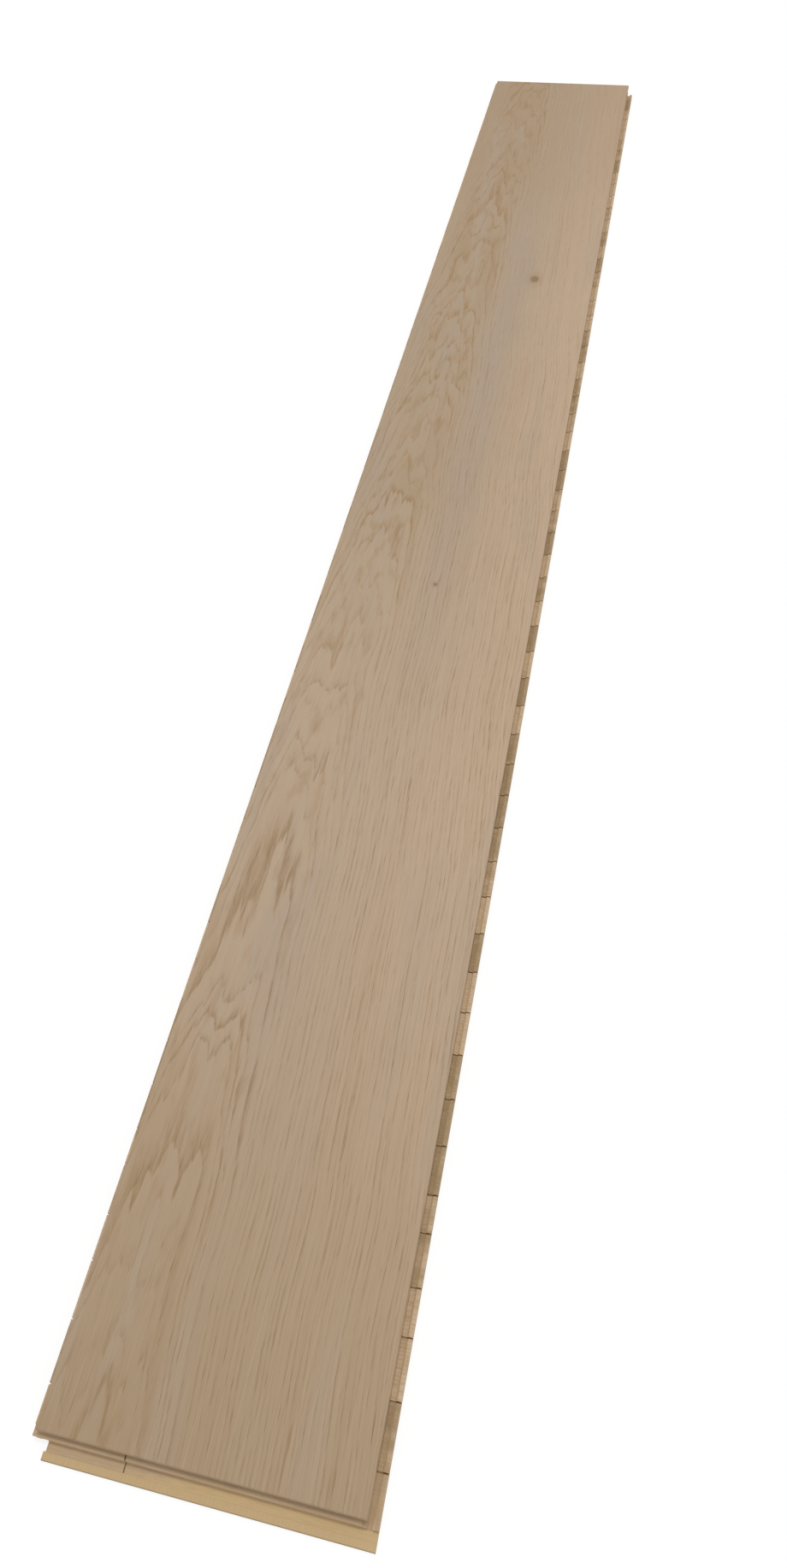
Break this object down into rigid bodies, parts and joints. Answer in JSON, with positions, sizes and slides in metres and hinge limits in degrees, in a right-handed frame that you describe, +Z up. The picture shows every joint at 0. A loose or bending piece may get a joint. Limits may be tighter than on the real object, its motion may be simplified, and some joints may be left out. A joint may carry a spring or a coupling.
{
  "type": "parquet floorboard",
  "caption": "Three-layer click floorboard: pale limed-oak wear layer on a core of cross-laid softwood strips, with a tongue, a groove and locking lips milled in its edges.",
  "frame": {"origin": "under the middle of the whole board, lips and tongues included, on the plane that it lies on", "axes": "+X across the board toward the groove edge, +Y along it toward the far, tongued end, +Z up out of the walking face"},
  "size_m": [0.2302, 1.9162, 0.015],
  "materials": {
    "limed_oak": "matt pale grey-beige oiled oak with open dark pores",
    "softwood_core": "raw sawn softwood",
    "end_strip_wood": "raw milled pale wood",
    "backing_softwood": "raw rotary-cut softwood veneer"
  },
  "bodies": {
    "root": {"wear_layer": "limed_oak", "core_strips": "softwood_core", "near_end_strip_left": "end_strip_wood", "near_end_strip_right": "end_strip_wood", "far_end_strip": "end_strip_wood", "backing_veneer": "backing_softwood"}
  },
  "joints": []
}
